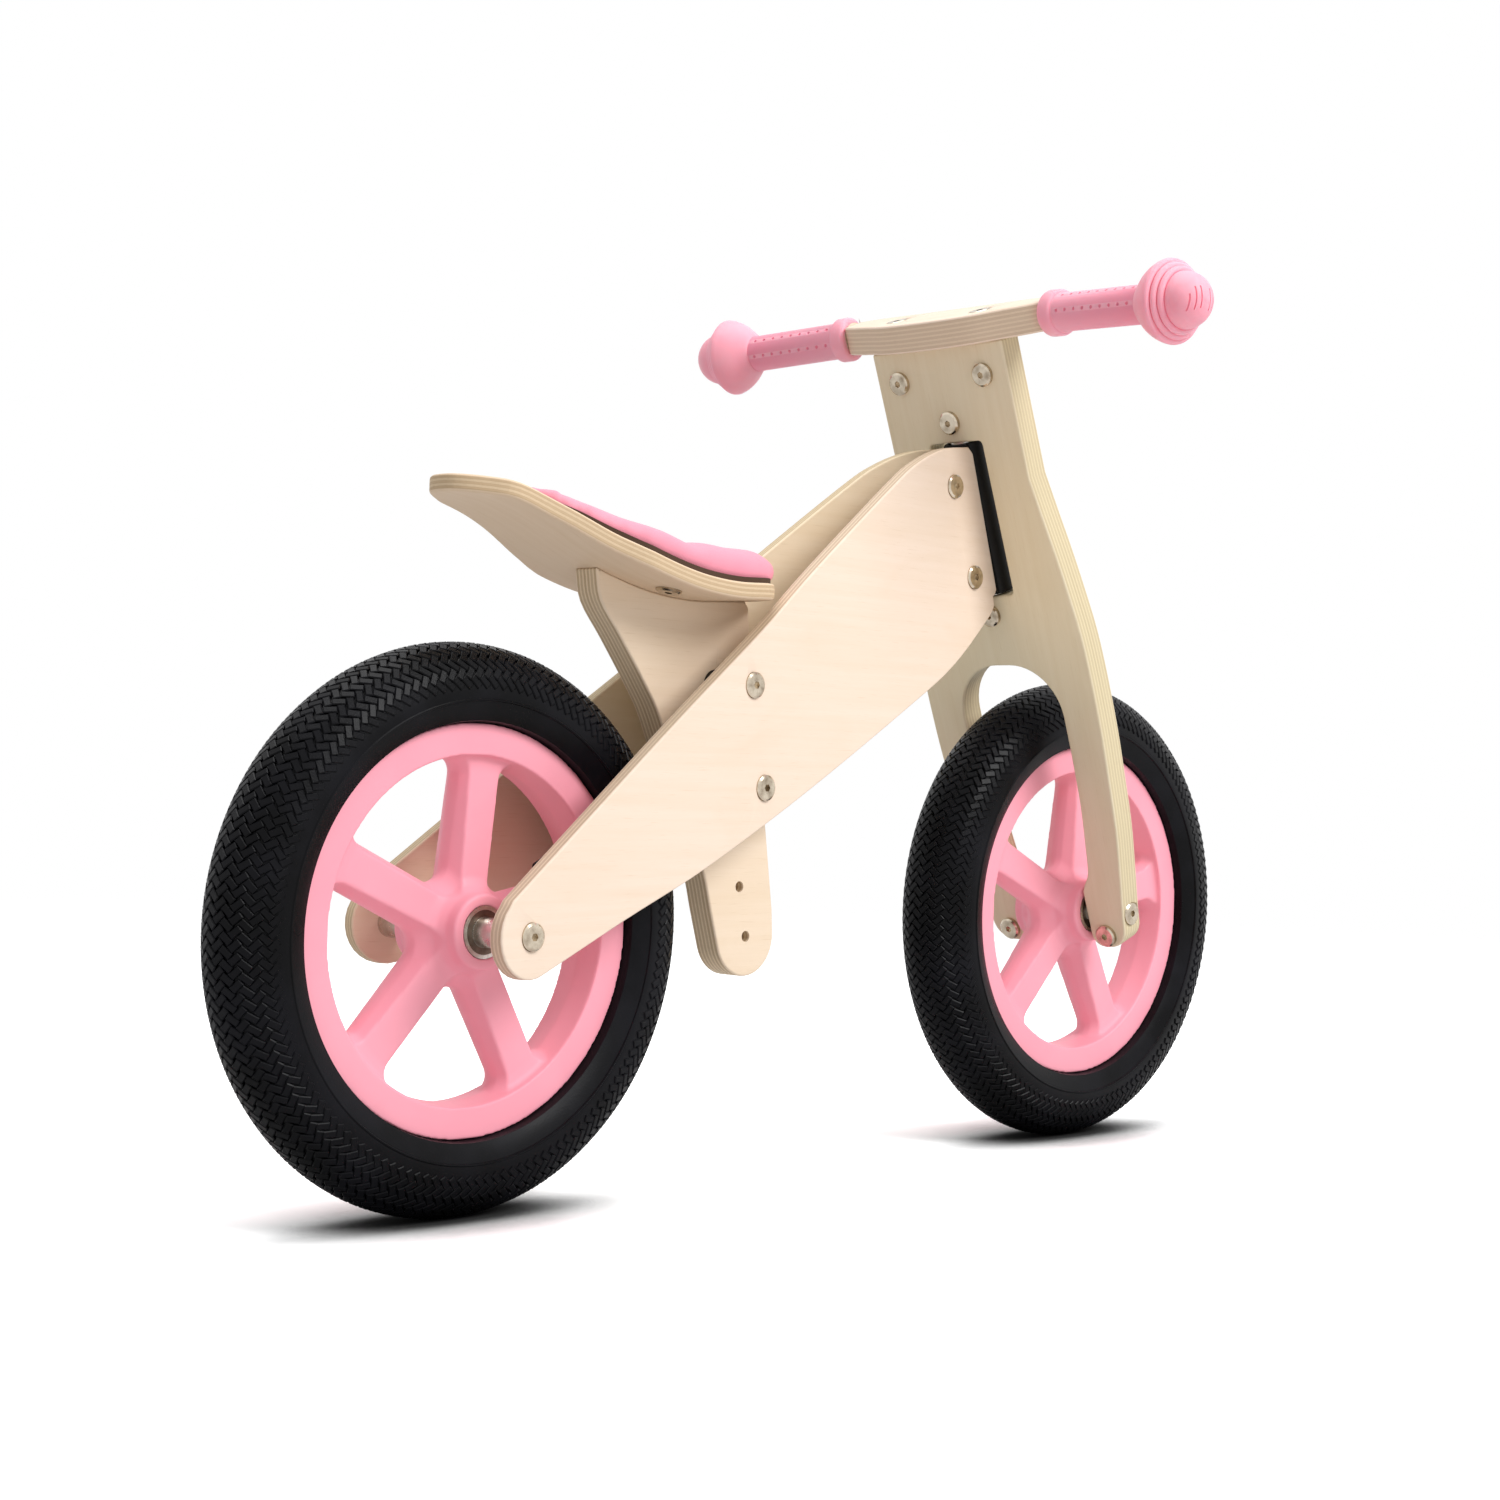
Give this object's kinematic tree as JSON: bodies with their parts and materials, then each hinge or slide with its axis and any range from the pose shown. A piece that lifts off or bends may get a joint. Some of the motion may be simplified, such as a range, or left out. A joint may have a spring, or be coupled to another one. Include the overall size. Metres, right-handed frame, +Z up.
{
  "type": "balance bike",
  "caption": "Wooden balance bike with two spoked wheels, a steered plywood fork with a handlebar, and a padded seat on a height-adjustable post.",
  "frame": {"origin": "on the floor, midway between the two axles, in the bike's middle plane", "axes": "+X forward, +Y to the rider's left, +Z up"},
  "size_m": [0.8366, 0.4172, 0.5503],
  "materials": {
    "birch": "satin",
    "hardboard": "matte",
    "pad": "satin",
    "pink_rubber": "satin",
    "pink_plastic": "satin",
    "tyre": "matte",
    "black_rubber": "matte",
    "black_nylon": "matte",
    "brass": "satin",
    "nickel": "satin",
    "steel": "brushed"
  },
  "bodies": {
    "frame": {"left_side_panel": "birch", "right_side_panel": "birch", "seat_post": "birch", "post_spacers": "black_nylon", "post_bolts": "nickel", "post_nuts": "nickel", "seat_board": "birch", "pad_base": "hardboard", "seat_pad": "pad", "pad_bolts": "nickel", "pad_nuts": "steel", "seat_screws": "steel", "steering_block": "black_nylon", "nose_bolts": "nickel", "nose_nuts": "nickel", "rear_axle_bolt": "nickel", "rear_axle_nut": "nickel", "rear_axle_spacers": "steel", "rear_hub_sleeve": "steel", "rear_inner_rings": "steel"},
    "fork": {"steering_rod": "steel", "thrust_washers": "steel", "rod_lock_bolts": "nickel", "rod_lock_nuts": "nickel", "fork_board": "birch", "leg_bolts": "nickel", "leg_nuts": "nickel", "handlebar_board": "birch", "handlebar_bolts": "nickel", "handlebar_cross_nuts": "nickel", "left_grip": "pink_rubber", "right_grip": "pink_rubber", "front_axle_bolt": "nickel", "front_axle_nut": "nickel", "front_axle_spacers": "steel", "front_hub_sleeve": "steel", "front_inner_rings": "steel"},
    "rear_wheel": {"rear_rim": "pink_plastic", "rear_tyre": "tyre", "rear_inner_tube": "black_rubber", "rear_valve": "brass", "rear_valve_cap": "black_nylon", "rear_outer_rings": "steel", "rear_bearing_balls": "steel", "rear_bearing_seals": "black_rubber"},
    "front_wheel": {"front_rim": "pink_plastic", "front_tyre": "tyre", "front_inner_tube": "black_rubber", "front_valve": "brass", "front_valve_cap": "black_nylon", "front_outer_rings": "steel", "front_bearing_balls": "steel", "front_bearing_seals": "black_rubber"}
  },
  "joints": [
    {"name": "steering", "type": "hinge", "parent": "frame", "child": "fork", "pos_m": [0.2655, 0, 0.1528], "axis": [-0.3616, 0, 0.9323], "range_deg": [-24, 24]},
    {"name": "front_wheel_spin", "type": "hinge", "parent": "fork", "child": "front_wheel", "pos_m": [0.2655, 0, 0.1528], "axis": [0, 1, 0], "continuous": true},
    {"name": "rear_wheel_spin", "type": "hinge", "parent": "frame", "child": "rear_wheel", "pos_m": [-0.2655, 0, 0.1528], "axis": [0, 1, 0], "continuous": true}
  ]
}
